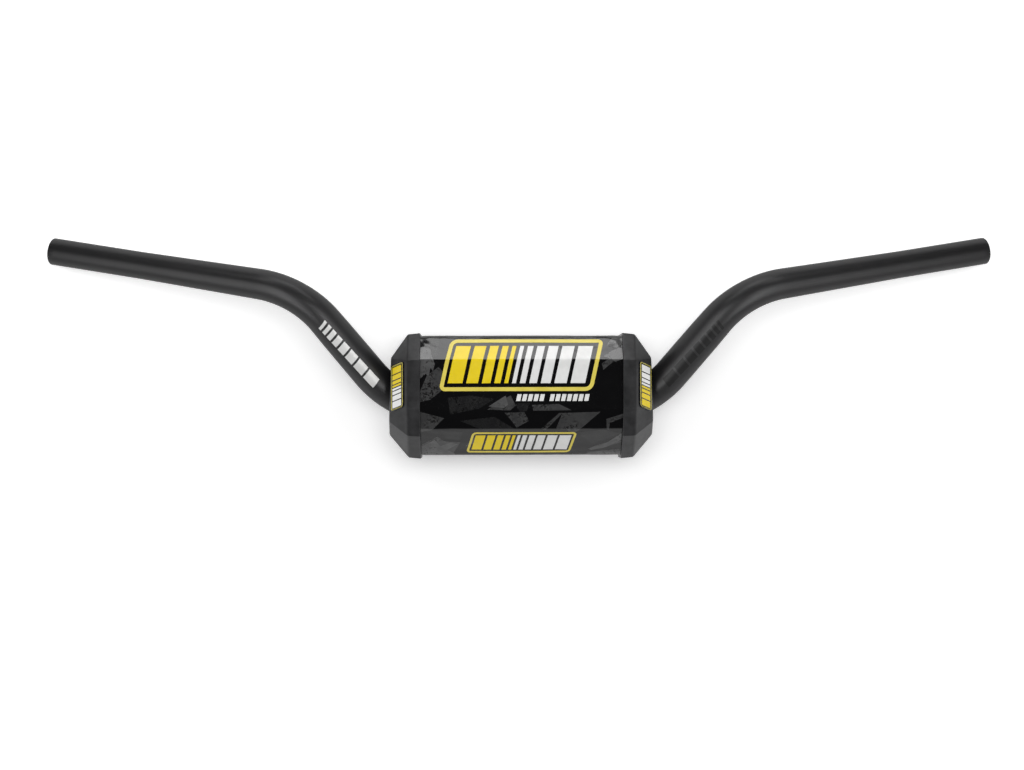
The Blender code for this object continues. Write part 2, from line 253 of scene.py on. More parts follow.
def offset(outline, by):
    """The outline with every side moved outward by that much."""
    sides = []
    for (w0, u0), (w1, u1) in zip(outline, (*outline[1:], outline[0])):
        length = math.hypot(w1 - w0, u1 - u0)
        dw, du = (w1 - w0) / length, (u1 - u0) / length
        sides.append((w0 - du * by, u0 + dw * by, dw, du))
    out = []
    for (aw, au, adw, adu), (bw, bu, bdw, bdu) in zip([sides[-1]] + sides, sides):
        t = ((bw - aw) * bdu - (bu - au) * bdw) / (adw * bdu - adu * bdw)
        out.append((aw + adw * t, au + adu * t))
    return out


def corner(here, before, after, radius, steps):
    """Points and outward normals round one corner of an outline."""
    here = Vector(here)
    to_prev, to_next = (Vector(before) - here).normalized(), (Vector(after) - here).normalized()
    half = to_prev.angle(to_next) / 2
    reach = radius / math.tan(half)
    centre = here + (to_prev + to_next).normalized() * (radius / math.sin(half))
    a, b = here + to_prev * reach - centre, here + to_next * reach - centre
    turn = a.angle(b)
    out = []
    for k in range(steps + 1):
        t = k / steps
        v = (a * math.sin((1 - t) * turn) + b * math.sin(t * turn)) / math.sin(turn)
        out.append((tuple(centre + v), tuple(v.normalized())))
    return out


def rounded(outline, radii, steps=3, normals=False):
    """Rounds each corner of an outline, and gives the outward normals too when asked."""
    count = len(outline)
    out = [spot for i in range(count)
           for spot in corner(outline[i], outline[i - 1], outline[(i + 1) % count], radii[i], steps)]
    return out if normals else [point for point, _ in out]


def at(x, w, u):
    return (Vector((x, 0, 0)) + W_DIR * w + U_DIR * u) * MM


def section(x, outline):
    return [at(x, w, u) for w, u in outline]


def end_x(u):
    return CAP_END_X - CAP_END_LEAN * (u + CAP_CREASE)


def bulge(x):
    return BULGE * max(0, 1 - (x / FLANGE_IN) ** 2)


# Cutters for the pad, as in the part's source

def slot_ring(x):
    """The bar cut by the plane at x and drawn back out of the pad, in (w, u)."""
    angle = math.radians(RISE_ANGLE)

    def inside(run):
        turned = min(max(run - CLAMP_HALF, 0) / BEND_1_RADIUS, angle)
        after = max(0, run - CLAMP_HALF - BEND_1_RADIUS * angle)
        return (min(run, CLAMP_HALF) + BEND_1_RADIUS * math.sin(turned) + after * math.cos(angle),
                BEND_1_RADIUS * (1 - math.cos(turned)) + after * math.sin(angle), turned)

    def spot(turn):
        low, high = -40, CAP_END_X * 3
        for _ in range(34):
            run = (low + high) / 2
            cx, cz, slope = inside(run)
            radius = tube_radius(abs(run)) + GAP
            if cx + radius * math.sin(turn) * math.sin(slope) < x:
                low = run
            else:
                high = run
        point = Vector((0, -radius * math.cos(turn), cz - radius * math.sin(turn) * math.cos(slope)))
        return point.dot(W_DIR), point.dot(U_DIR)

    lean = math.atan(math.tan(math.radians(PAD_TILT)) * math.cos(inside(x)[2]))
    ring = [spot(-math.pi / 2 - lean + math.pi * i / 24) for i in range(25)]
    return ring + [(-60, ring[-1][1]), (-60, ring[0][1])]


SLOT_STATIONS = [CLAMP_HALF / 2] + [CLAMP_HALF + 60.3 * i / 21 for i in range(22)]
SLOT_RINGS = [slot_ring(x) for x in SLOT_STATIONS]


def cutter(name, sections):
    bm = bmesh.new()
    loft(bm, sections)
    return finish(name, bm, None)


def slot_cutter():
    pairs = list(zip(SLOT_STATIONS, SLOT_RINGS))
    return cutter("slot_cutter", [section(-x, ring) for x, ring in reversed(pairs)] +
                  [section(x, ring) for x, ring in pairs])


def pocket_cutter():
    return cutter("pocket_cutter", [section(x, POCKET) for x in (-POCKET_HALF, POCKET_HALF)])


# The film: a skin over the foam, with the wrinkles of a stretched sleeve

FILM = rounded(BODY, BODY_ROUND, 6, normals=True)
FILM_AT = [0]
for (p, _), (q, _) in zip(FILM, FILM[1:] + FILM[:1]):
    FILM_AT.append(FILM_AT[-1] + math.hypot(q[0] - p[0], q[1] - p[1]))
FILM_ROUND = FILM_AT[-1]
FILM_ZERO = FILM_AT[7 + 3]  # middle of the crease between the two upper facets
FRONT = max(w for w, _ in BODY)


def film_base(s):
    """(w, u) and outward normal of the film's plain outline."""
    way = (s + FILM_ZERO) % FILM_ROUND
    i = max(k for k in range(len(FILM)) if FILM_AT[k] <= way + 1e-9)
    t = (way - FILM_AT[i]) / max(1e-9, FILM_AT[i + 1] - FILM_AT[i])
    (p, n), (q, m) = FILM[i], FILM[(i + 1) % len(FILM)]
    normal = Vector(n).lerp(Vector(m), t).normalized()
    return Vector(p).lerp(Vector(q), t), normal


CREASES = [((FILM_AT[7 * i + 3] - FILM_ZERO + FILM_ROUND / 2) % FILM_ROUND) - FILM_ROUND / 2
           for i in range(9)]


def hump(value, width):
    return math.exp(-(value / width) ** 2)


def clamp(value):
    return min(1, max(0, value))


def ripple(a, b, seed):
    return noise.noise(Vector((a, b, seed)))


def wrinkle(x, s):
    """How far the film stands off its plain shape, in millimetres."""
    s = (s + FILM_ROUND / 2) % FILM_ROUND - FILM_ROUND / 2
    side = 1 if x > 0 else -1
    near = max(0, FLANGE_IN - abs(x))
    pull, tucked = hump(near, 17), clamp(near / 5)
    upper, lower = hump(s + 12, 14), s - 72
    pucker = sum(hump(s - c, 5) for c in CREASES[1:4])
    edge = clamp((FILM_ROUND / 2 - abs(s)) / 12)
    calm = 0.4 + 0.6 * clamp((75 - abs(s - 32)) / 12)
    taut = 0.14 + 0.56 * upper

    folds = ripple(x * 0.045, s * 0.16 + side * 7, 3.1)
    fan = ripple(x * 0.10 + s * 0.05 * side, s * 0.11 - x * 0.04 * side, 9.4)
    crease = 1 - abs(ripple(x * 0.035 + s * 0.02, s * 0.10 - x * 0.03, 8.8)) * 3
    out = taut * (folds + fan) * pull + (0.18 + 0.08 * upper) * ripple(x * 0.026, s * 0.075, 5.7)
    out += 0.05 * ripple(x * 0.11, s * 0.26, 1.3)
    out += 0.22 * max(0, crease) * (taut * pull + 0.8 * upper + 0.5 * hump(lower, 18))
    out += 0.11 * ripple(x * 0.17, s * 0.04, 6.6) * pucker
    out += 0.34 * abs(ripple(x * 0.028 + 4, s * 0.13, 2.2)) * hump(lower, 15)
    return edge * (calm * out * tucked - 0.12 * (1 - tucked))


def film_point(x, s, lift=0):
    (w, u), (nw, nu) = film_base(s)
    out = wrinkle(x, s) + lift
    w += bulge(x) * w / (FRONT if w > 0 else PAD_BACK)
    return at(x, w + nw * out, u + nu * out)


def steps_between(low, high, step):
    count = max(1, math.ceil((high - low) / step - 1e-6))
    return [low + (high - low) * k / count for k in range(count)]


FILM_END = CAP_SEAT - GAP
FILM_X = steps_between(-FILM_END, FILM_END, FILM_STEP) + [FILM_END]
FILM_S = [s - FILM_ZERO for a, b in zip(FILM_AT, FILM_AT[1:]) for s in steps_between(a, b, FILM_STEP)]


def build_film():
    bm = bmesh.new()
    outer = loft(bm, [[film_point(x, s) for s in FILM_S] for x in FILM_X], False)
    inner = loft(bm, [[film_point(x, s, -COVER_THICK - min(0, wrinkle(x, s))) for s in FILM_S]
                      for x in FILM_X[::9] + FILM_X[-1:]], False)
    for index in (0, -1):
        join_rings(bm, outer[index], inner[index])
    film = finish("pad_film", bm, FILM_BLACK, 60)
    cut(film, pocket_cutter(), 60)
    return cut(film, slot_cutter(), 60)


# Flat shapes that are laid on the film, a label or the bar

def stroke(outline, width, radii, steps=5):
    """A closed line of that width inside an outline, as quads."""
    outer = rounded(outline, radii, steps)
    sign = 1 if sum(a[0] * b[1] - b[0] * a[1] for a, b in zip(outline, outline[1:] + outline[:1])) > 0 else -1
    inner = rounded(offset(outline, sign * width), [max(0.3, r - width) for r in radii], steps)
    count = len(outer)
    return [(outer[i], outer[(i + 1) % count], inner[(i + 1) % count], inner[i]) for i in range(count)]


def bars(start, widths, gap, low, high, slant=SLANT):
    """Slanted bars in a row, leaning by slant for each millimetre of height."""
    lean = (high - low) / 2 * slant
    out = []
    for width in widths:
        end = start + width
        out.append(((start - lean, high), (end - lean, high), (end + lean, low), (start + lean, low)))
        start = end + gap
    return out


def face_out(thing, outward):
    """Turns the faces so that most of them look along outward(centre)."""
    bm = opened(thing)
    votes = sum(f.calc_area() * (1 if f.normal.dot(outward(f.calc_center_median())) > 0 else -1)
                for f in bm.faces)
    if votes < 0:
        bmesh.ops.reverse_faces(bm, faces=bm.faces)
    closed(bm, thing.data)
    return thing


def lay(name, shapes, place, mat, outward, top, bottom=None, lines=((), ())):
    """Lays flat shapes by place(a, b, lift), sliced where the surface under them bends.

    Without a bottom they are bare sheets at the top's lift.
    """
    bm = bmesh.new()
    for shape in shapes:
        bm.faces.new([bm.verts.new((a, b, 0)) for a, b in shape])
    bmesh.ops.recalc_face_normals(bm, faces=bm.faces)
    for face in bm.faces:
        if face.normal.z < 0:
            face.normal_flip()
    for axis in (0, 1):
        low = min(v.co[axis] for v in bm.verts)
        high = max(v.co[axis] for v in bm.verts)
        for value in lines[axis]:
            if low < value < high:
                point, normal = Vector(), Vector()
                point[axis], normal[axis] = value, 1
                bmesh.ops.bisect_plane(bm, geom=bm.verts[:] + bm.edges[:] + bm.faces[:],
                                       plane_co=point, plane_no=normal, dist=1e-5)
    if bottom is not None:
        edges = [(loop.vert, loop.link_loop_next.vert) for face in bm.faces for loop in face.loops
                 if len(loop.edge.link_faces) == 1]
        low = {v: bm.verts.new((v.co.x, v.co.y, -1)) for v in dict.fromkeys(sum(edges, ()))}
        for a, b in edges:
            bm.faces.new((b, a, low[a], low[b]))
    for v in bm.verts:
        v.co = place(v.co.x, v.co.y, top if v.co.z > -0.5 else bottom)
    bm.normal_update()
    return face_out(finish(name, bm, mat, 50, solid=False), outward)


def print_on_film(name, shapes, mat, top, bottom=None):
    around = [sorted((s + FILM_ROUND) % FILM_ROUND for s in FILM_S),
              sorted(s - FILM_ROUND for s in FILM_S), sorted(FILM_S)]
    middle = at(0, 0, 10)
    return lay(name, shapes, film_point, mat, lambda c: Vector((0, c.y - middle.y, c.z - middle.z)),
               top, bottom, (FILM_X, sum(around, [])))


# Threads

def threads(name, paths, radius, pitch, sink=0):
    """Stitches along paths of (point, outward normal) in metres."""
    bm = bmesh.new()
    for path in paths:
        run = [0]
        for (a, _), (b, _) in zip(path, path[1:]):
            run.append(run[-1] + (b - a).length)

        def spot(way):
            i = max(k for k in range(len(run) - 1) if run[k] <= way + 1e-12)
            t = (way - run[i]) / max(1e-12, run[i + 1] - run[i])
            (a, n), (b, m) = path[i], path[i + 1]
            return a.lerp(b, t), n.lerp(m, t).normalized()

        count = max(1, round(run[-1] / (pitch * MM)))
        for k in range(count):
            rings = []
            for t in (j / 6 for j in range(7)):
                way = run[-1] * (k + 0.11 + 0.78 * t) / count
                here, up = spot(way)
                along = spot(min(run[-1], way + 1e-5))[0] - spot(max(0, way - 1e-5))[0]
                side = along.normalized().cross(up).normalized()
                arch = math.sin(math.pi * t)
                centre = here + up * (arch * radius * 0.9 - radius * 0.5 - sink) * MM
                thick = radius * (0.35 + 0.65 * arch ** 0.5)
                rings.append([centre + (side * math.cos(q) + up * math.sin(q)) * thick * MM
                              for q in (2 * math.pi * n / 8 for n in range(8))])
            loft(bm, rings)
    return finish(name, bm, THREAD, 50)


# Materials

def put(tree, kind, wires=None, **settings):
    made = tree.nodes.new("ShaderNode" + kind)
    for key, value in settings.items():
        setattr(made, key, value)
    for key, value in (wires or {}).items():
        if isinstance(value, bpy.types.NodeSocket):
            tree.links.new(value, made.inputs[key])
        else:
            made.inputs[key].default_value = value
    return made


def grain(vector, scale, detail=3, rough=0.55, twist=0):
    return put(vector.id_data, "TexNoise", {"Vector": vector, "Scale": scale, "Detail": detail,
                                            "Roughness": rough, "Distortion": twist}).outputs["Fac"]


def spread(value, low=0, high=1, start=0.3, stop=0.7):
    """Maps start to low and stop to high."""
    return put(value.id_data, "MapRange", {"Value": value, "From Min": start, "From Max": stop,
                                           "To Min": low, "To Max": high}).outputs["Result"]


def mixed(factor, a, b):
    """One colour or another, each given as a socket or as its red, green and blue."""
    a, b = (v if isinstance(v, bpy.types.NodeSocket) else (*v, 1) for v in (a, b))
    return put(factor.id_data, "Mix", {0: factor, 6: a, 7: b}, data_type="RGBA").outputs[2]


def grey(value, cool=0):
    return value, value, value + cool


def math_of(tree, operation, a, b=0):
    return put(tree, "Math", {0: a, 1: b}, operation=operation).outputs[0]


def times(a, b):
    return math_of(a.id_data, "MULTIPLY", a, b)


def plus(a, b):
    return math_of(a.id_data, "ADD", a, b)


def pick(factor, a, b):
    """Shader a, or b where the factor is 1."""
    return put(factor.id_data, "MixShader", {0: factor, 1: a, 2: b}).outputs[0]


def dot(tree, vector, way):
    return put(tree, "VectorMath", {0: vector, 1: tuple(way)}, operation="DOT_PRODUCT").outputs["Value"]


def bumped(height, strength, distance, normal=None):
    wires = {"Height": height, "Strength": strength, "Distance": distance * MM}
    if normal is not None:
        wires["Normal"] = normal
    return put(height.id_data, "Bump", wires).outputs["Normal"]


def start(name, **settings):
    """A new material, its node tree and the places on its object."""
    mat = bpy.data.materials.new(name)
    mat.use_nodes = True
    shader = mat.node_tree.nodes["Principled BSDF"]
    for key, value in settings.items():
        shader.inputs[SOCKETS[key]].default_value = value
    return mat, mat.node_tree, place_vector(mat.node_tree)


SOCKETS = {"colour": "Base Color", "rough": "Roughness", "normal": "Normal", "metal": "Metallic",
           "shine": "Specular IOR Level", "sheen": "Sheen Weight"}


def wire(mat, **sockets):
    """Links sockets to the material's shader, and gives the material back."""
    tree = mat.node_tree
    for key, value in sockets.items():
        tree.links.new(value, tree.nodes["Principled BSDF"].inputs[SOCKETS[key]])
    return mat


def place_vector(tree, scale=(1, 1, 1), kind="Object"):
    """Places on the object, in millimetres, stretched by the scale."""
    spot = put(tree, "TexCoord").outputs[kind]
    return put(tree, "Mapping", {"Vector": spot, "Scale": tuple(v / MM for v in scale)}).outputs["Vector"]


def flat_vector(tree, scale=(1, 1, 1)):
    """The mesh's own flat coordinates, in millimetres."""
    return place_vector(tree, scale, "UV")


def knurl(tree):
    """Height of a fine diamond knurl on the stretch that the clamps hold."""
    spot = put(tree, "SeparateXYZ", {0: flat_vector(tree)})
    along, round_it = spot.outputs[0], spot.outputs[1]
    waves = [math_of(tree, "SINE", times(math_of(tree, way, along, round_it), 2 * math.pi / KNURL_PITCH))
             for way in ("ADD", "SUBTRACT")]
    middle = spread(math_of(tree, "ABSOLUTE", along), 1, 0, CLAMP_HALF - 5, CLAMP_HALF - 4)
    return times(times(*waves), middle)


def make_bar_paint():
    """Satin black anodising: fine blasted grain, drawing lines along the bar, light rub marks.

    It shines less toward its rims, which see the bright table.
    """
    mat, tree, here = start("bar_anodised")
    fine, cloud = grain(here, 2.6, 4), grain(here, 0.045)
    lines = grain(flat_vector(tree, (0.035, 1.6, 1)), 1)
    rub = spread(grain(flat_vector(tree, (0.25, 0.9, 1)), 1, 6, 0.7), 0, 1, 0.62, 0.74)
    rim = put(tree, "LayerWeight", {"Blend": 0.5}).outputs["Facing"]
    colour = mixed(cloud, (0.010, 0.0098, 0.0103), (0.015, 0.0145, 0.0155))
    return wire(
        mat, colour=mixed(times(rub, 0.25), colour, (0.075, 0.074, 0.076)),
        rough=plus(spread(fine, 0.34, 0.44), spread(lines, -0.03, 0.03)),
        normal=bumped(knurl(tree), 0.8, 0.14,
                      bumped(lines, 0.10, 0.05, bumped(fine, 0.22, 0.04))),
        metal=spread(rim, 0.40, 0.08, *RIM), shine=spread(rim, 0.50, 0.10, *RIM))


def make_film_paint():
    """Glossy black vinyl: slight orange peel, a few scuffs and a haze in its shine."""
    mat, tree, here = start("film_gloss")
    haze = grain(here, 0.05, 4, 0.6)
    scuff = spread(grain(place_vector(tree, (0.2, 1.4, 1.4)), 0.9, 7, 0.72), 0, 1, 0.64, 0.76)
    return wire(
        mat, colour=mixed(haze, grey(0.0022, 0.0003), grey(0.0040, 0.0005)),
        rough=plus(spread(haze, *FILM_ROUGH), times(scuff, 0.12)),
        normal=bumped(grain(here, *PEEL), 0.10, 0.05))


def make_ink(name, tones, rough=INK_ROUGH, specular=0.35, speckle=None):
    """Printed ink under the film's gloss, with a slightly uneven tone, and specks when asked."""
    mat, _, here = start(name, shine=specular)
    colour = mixed(spread(grain(here, 0.12)), *tones)
    if speckle:
        tone, share = speckle
        coarse = spread(grain(here, 0.42, 9, 0.78), 0, 1, share, share + 0.05)
        patch = spread(grain(here, 0.06, 2), 0, 1, 0.42, 0.58)
        colour = mixed(times(coarse, patch), colour, tone)
    return wire(
        mat, colour=colour, rough=spread(grain(here, 0.05, 4, 0.6), *rough),
        normal=bumped(grain(here, *PEEL), 0.10, 0.05))


def make_rubber():
    """Moulded dark rubber: a fine spark-eroded grain, flow clouds, and paler edges, partly wear and partly a
    painted highlight.
    """
    mat, tree, here = start("cap_rubber", shine=0.30)
    fine, cloud = grain(here, 2.2, 5, 0.65), grain(here, 0.07, 4, 0.6)
    # Paler convex edges: partly wear, partly a painted highlight along the edges.
    worn_and_edge_highlight = spread(put(tree, "NewGeometry").outputs["Pointiness"], 0, 1, 0.52, 0.60)
    dust = spread(grain(here, 0.25, 6, 0.7), 0, 0.5, 0.56, 0.72)
    colour = mixed(spread(cloud), grey(0.0165, 0.0008), grey(0.042, 0.0018))
    colour = mixed(times(worn_and_edge_highlight, 0.30), colour, grey(0.085, 0.005))
    return wire(
        mat, colour=mixed(times(dust, 0.22), colour, grey(0.09)),
        rough=spread(fine, 0.30, 0.44), normal=bumped(fine, 0.30, 0.07))


def make_foam():
    """Closed-cell foam: small cells on its cut faces, painted shade darkening their pits, and a chalky skin.
    """
    mat, tree, here = start("pad_foam_cells", shine=0.2)
    cells = put(tree, "TexVoronoi", {"Vector": here, "Scale": 1.1}, feature="F1").outputs["Distance"]
    wide = grain(here, 0.10, 4)
    # Painted shade: the colour darkens in the pits of the cells, where the bump sinks.
    painted_pit_shade = spread(cells, 1, 0, 0, 0.45)
    colour = mixed(spread(wide), grey(0.016, 0.001), grey(0.030, 0.001))
    return wire(
        mat, colour=mixed(times(painted_pit_shade, 0.55), colour, grey(0.006)),
        rough=spread(wide, 0.84, 0.96),
        normal=bumped(cells, 0.55, 0.35, bumped(grain(here, 0.5), 0.3, 0.5)))


def stripes(vector, scale, bend, way, detail=2, fineness=1):
    wires = {"Vector": vector, "Scale": scale, "Distortion": bend, "Detail": detail, "Detail Scale": fineness}
    return put(vector.id_data, "TexWave", wires, wave_type="BANDS", bands_direction=way).outputs["Fac"]


def make_webbing():
    """Woven nylon tape: ribs across it and a fine yarn along them, with painted shade in the weave's grooves.
    """
    mat, tree, here = start("webbing_black", shine=0.3, sheen=0.15)
    ribs = stripes(flat_vector(tree), 0.30, 0.4, "Y", 1, 3)
    warp = stripes(flat_vector(tree), 0.42, 0.3, "X")
    yarn = grain(flat_vector(tree, (3, 9, 1)), 1)
    height = plus(times(ribs, 0.7), times(warp, 0.5))
    # Painted shade: the colour follows the weave's height, darker in its grooves and lighter on its ribs.
    colour = mixed(height, grey(0.008, 0.001), grey(0.030, 0.002))
    return wire(
        mat, colour=mixed(spread(yarn, 0, 0.3), colour, grey(0.05, 0.002)),
        rough=spread(grain(here, 0.3), 0.72, 0.9),
        normal=bumped(height, 0.7, 0.30, bumped(yarn, 0.3, 0.10)))


def make_fuzz():
    """Brushed loop pile, with painted shade where the pile sinks."""
    mat, _, here = start("loop_pile", shine=0.15, sheen=0.3)
    pile = grain(here, 1.8, 6, 0.8, 1.5)
    # Painted shade: the colour follows the pile's bump, darker where it sinks.
    return wire(
        mat, colour=mixed(spread(pile), grey(0.006, 0.001), grey(0.045, 0.002)),
        rough=spread(pile, 0.86, 0.98), normal=bumped(pile, 0.9, 0.6))


def make_thread():
    mat, _, here = start("thread_black", shine=0.3)
    twist = stripes(here, 1.6, 1, "DIAGONAL")
    # Painted shade: the colour follows the twist's bump, darker in its grooves.
    return wire(
        mat, colour=mixed(twist, grey(0.012, 0.001), grey(0.045, 0.002)),
        rough=spread(twist, 0.55, 0.75, 0, 1), normal=bumped(twist, 0.5, 0.10))


BAR, FILM_BLACK, RUBBER = make_bar_paint(), make_film_paint(), make_rubber()
FOAM, WEBBING, FUZZ, THREAD = make_foam(), make_webbing(), make_fuzz(), make_thread()
YELLOW = make_ink("ink_yellow", ((0.78, 0.585, 0.005), (0.85, 0.645, 0.009)))
YELLOW_PALE = make_ink("ink_pale_yellow", ((0.68, 0.56, 0.075), (0.75, 0.63, 0.11)))
WHITE = make_ink("ink_white", (grey(0.72, -0.01), grey(0.80, -0.01)))
LABEL_YELLOW = make_ink("ink_label_yellow", ((0.78, 0.67, 0.13), (0.86, 0.75, 0.18)))
# Painted light: a brighter copy of the white ink, standing in for the extra light on the caps' sides.
LABEL_WHITE_PAINTED_LIGHT = make_ink("ink_label_white_painted_light", (grey(0.84, -0.01), grey(0.90, -0.01)))
GREY_LIGHT = make_ink("ink_light_grey", (grey(0.060, 0.001), grey(0.095)), FILM_ROUGH, 0.5,
                      (grey(0.020), 0.54))
GREY = make_ink("ink_grey", (grey(0.038, 0.001), grey(0.060)), FILM_ROUGH, 0.5, (grey(0.005), 0.50))
GREY_DARK = make_ink("ink_dark_grey", (grey(0.010, 0.001), grey(0.018)), FILM_ROUGH, 0.5, (grey(0.003), 0.52))
LABEL = make_ink("label_black", (grey(0.005, 0.001), grey(0.008, 0.001)), (0.20, 0.30), 0.5)
TONAL = make_ink("mark_tonal", (grey(0.0035, 0.0002), grey(0.0050, 0.0002)), (0.34, 0.44), 0.25)


# The bar

def build_bar():
    """The whole tube in one sweep, with small chamfers at its open ends."""
    runs = steps_between(0, CLAMP_HALF, 6)
    mark = CLAMP_HALF
    for length, step in ((ARC_1, 1.7), (RISE_STRAIGHT, 5), (ARC_2, 1.5), (GRIP_LENGTH - 0.7, 5)):
        runs += steps_between(mark, mark + length, step)
        mark += length
    half = [(run, tube_radius(run), tube_radius(run) - WALL) for run in runs]
    radius = tube_radius(HALF_LENGTH)
    for back, less, more in ((0.7, 0, 0), (0.55, 0.04, 0), (0.15, 0.32, 0.10), (0, 0.62, 0.35)):
        half.append((HALF_LENGTH - back, radius - less, radius - WALL + more))
    stations = [(-1, *row) for row in reversed(half[1:])] + [(1, *row) for row in half]
    bm = bmesh.new()
    bm.loops.layers.uv.new("UVMap")
    skins = []
    for which, sides in ((2, OUTER_SIDES), (3, BORE_SIDES)):
        rings = [[bm.verts.new(tube_point(row[0], row[1], 2 * math.pi * i / sides, row[which]))
                  for i in range(sides)] for row in stations]
        skins.append(rings)
        map_skin(bm, rings, lambda row, k: (stations[row][0] * stations[row][1],
                                            MIDDLE_RADIUS * 2 * math.pi * k / sides))
    for index in (0, -1):
        outer, inner = skins[0][index], skins[1][index]
        for i in range(BORE_SIDES):
            a, b, c = outer[2 * i], outer[2 * i + 1], outer[(2 * i + 2) % OUTER_SIDES]
            bm.faces.new((a, b, inner[(i + 1) % BORE_SIDES], inner[i]))
            bm.faces.new((b, c, inner[(i + 1) % BORE_SIDES]))
    return finish("bar_tube", bm, BAR, 40)


def arm_place(side):
    """Lays (along, across) marks on the front of the rising arm, in millimetres."""
    def place(along, across, lift):
        run = CLAMP_HALF + ARC_1 + along
        radius = tube_radius(run)
        turn = math.radians(ARM_TURN + ARM_TWIST * along) + across / radius
        return tube_point(side, run, turn, radius + lift)
    return place


# The pad

def build_foam():
    """The foam core, its cut edges softened, a little clear of everything round it."""
    foam = linked("foam_core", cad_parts["pad_foam"].data.copy())
    foam.data.materials.clear()
    remesh = foam.modifiers.new("voxels", "REMESH")
    remesh.mode, remesh.voxel_size = "VOXEL", 1.7 * MM
    soft = foam.modifiers.new("soften", "SMOOTH")
    soft.factor, soft.iterations = 0.5, 2
    settle(foam)
    normals = [v.normal.copy() for v in foam.data.vertices]
    for v, normal in zip(foam.data.vertices, normals):
        v.co -= normal * (0.30 + 0.10 * noise.noise(v.co * 900)) * MM
    for face in foam.data.polygons:
        face.use_smooth = True
    foam.data.materials.append(FOAM)
    return foam


def cap_end_ring(side, rounding, inset=0, back=0):
    """The rounded end outline. Its first corner faces two of the flange's, so it has twice the points."""
    plain = offset(CAP_END, -inset)
    first = [point for point, _ in corner(plain[0], plain[-1], plain[1], rounding, 7)]
    return [at(side * (end_x(u) - back), w, u) for w, u in first + rounded(plain, [rounding] * 8)[4:]]


def build_cap(name, side):
    """A moulded cap with a drafted flange, its edges rounded off, and a sleeve over the film."""
    def rim(x, more=0):
        by = more - FLANGE_DRAFT * (x - FLANGE_IN) / (FLANGE_OUT - FLANGE_IN)
        return section(side * x, rounded(offset(FLANGE, by), [CAP_ROUND] * 9))

    outline, end = rim(FLANGE_OUT), cap_end_ring(side, CAP_END_ROUND)
    on_slope = [[a.lerp(b, t) for a, b in zip(outline, end)] for t in (0.07, 0.93)]
    rings = soften(rim(FLANGE_IN, -0.9), rim(FLANGE_IN), rim(FLANGE_IN + 0.9))
    rings += soften(rim(FLANGE_OUT - 1.1), outline, on_slope[0])
    rings += soften(on_slope[1], end, cap_end_ring(side, CAP_END_ROUND, 1.2))
    bm = bmesh.new()
    outer = loft(bm, rings, False)
    sleeve = rounded(offset(BODY, GAP), [r + 0.4 for r in BODY_ROUND])
    seat = rounded(offset(BODY, -COVER_THICK - GAP - 0.7), [max(1, r - 1.5) for r in BODY_ROUND])
    inner = loft(bm, [section(side * FLANGE_IN, sleeve), section(side * CAP_SEAT, sleeve),
                      section(side * CAP_SEAT, seat), cap_end_ring(side, 0.8, CAP_WALL, CAP_WALL)], False)
    join_rings(bm, outer[0], inner[0])
    bm.faces.new(outer[-1])
    bm.faces.new(inner[-1])
    return weight_normals(cut(finish(name, bm, RUBBER, 60), slot_cutter(), 60))


def label_frame(side):
    """Centre, slope, up and normal of the label's place on the cap."""
    flange = offset(FLANGE, -FLANGE_DRAFT)
    near, low = at(side * FLANGE_OUT, *flange[1]), at(side * FLANGE_OUT, *flange[2])
    w, u = CAP_END[1]
    far = at(side * end_x(u), w, u)
    up = (near - low).normalized()
    out = (far - low) - up * (far - low).dot(up)
    slope = out.normalized()
    normal = slope.cross(up)
    if normal.dot(W_DIR) < 0:
        normal = -normal
    centre = (near + low) / 2 + slope * (out.length / 2 + LABEL_OUT * MM) - up * (LABEL_DOWN * MM)
    return centre, slope, up, normal


def build_label(name, side):
    """A glossy sticker with a yellow rim and two runs of slanted bars."""
    centre, slope, up, normal = label_frame(side)
    lean = LABEL_LEAN / LABEL_WIDE
    face = GAP + LABEL_THICK

    def place(a, b, lift):
        return centre + (slope * a + up * (b - lean * a) + normal * lift) * MM

    def box(inset):
        a, b = LABEL_WIDE / 2 - inset, LABEL_TALL / 2 - inset
        return [(-a, b), (a, b), (a, -b), (-a, -b)]

    bm = bmesh.new()
    loft(bm, [[place(a, b, lift) for a, b in rounded(box(inset), [LABEL_ROUND - less] * 4, 6)]
              for inset, less, lift in ((0, 0, GAP - 0.25), (0, 0, face - 0.25),
                                        (0.12, 0.1, face - 0.1), (0.35, 0.3, face - 0.04))])
    pieces = [finish(name, bm, LABEL, 40)]
    marks, edge, reach = [[], []], LABEL_TALL / 2 - 2.5, LABEL_WIDE / 2 - 2.6
    for group, depths in zip(marks, ((5.4, 3.9, 2.6, 1.6), (1.6, 2.6, 3.9, 5.1))):
        for depth in depths:
            group.append(((-reach, edge), (reach, edge), (reach, edge - depth), (-reach, edge - depth)))
            edge -= depth + 0.9
    first, second = marks[::-side]
    for suffix, shapes, mat in (("rim", stroke(box(0.7), 1, [LABEL_ROUND - 0.5] * 4), LABEL_YELLOW),
                                ("bars_yellow", first, YELLOW), ("bars_white", second, LABEL_WHITE_PAINTED_LIGHT)):
        pieces.append(lay(name + "_" + suffix, shapes, place, mat, lambda c: normal, face + 0.04, face - 0.06))
    return pieces


def strap_path():
    w_sewn = -(PAD_BACK + bulge(STRAP_X[0]) + GAP)
    points = []
    for k in range(STRAP_STEPS + 1):
        u = STRAP_U[0] + (STRAP_U[3] - STRAP_U[0]) * k / STRAP_STEPS
        t = clamp((STRAP_U[1] - u) / (STRAP_U[1] - STRAP_U[2]))
        t = t * t * (3 - 2 * t)
        points.append((w_sewn - (PATCH_THICK + GAP) * t - STRAP_THICK / 2, u))
    return points


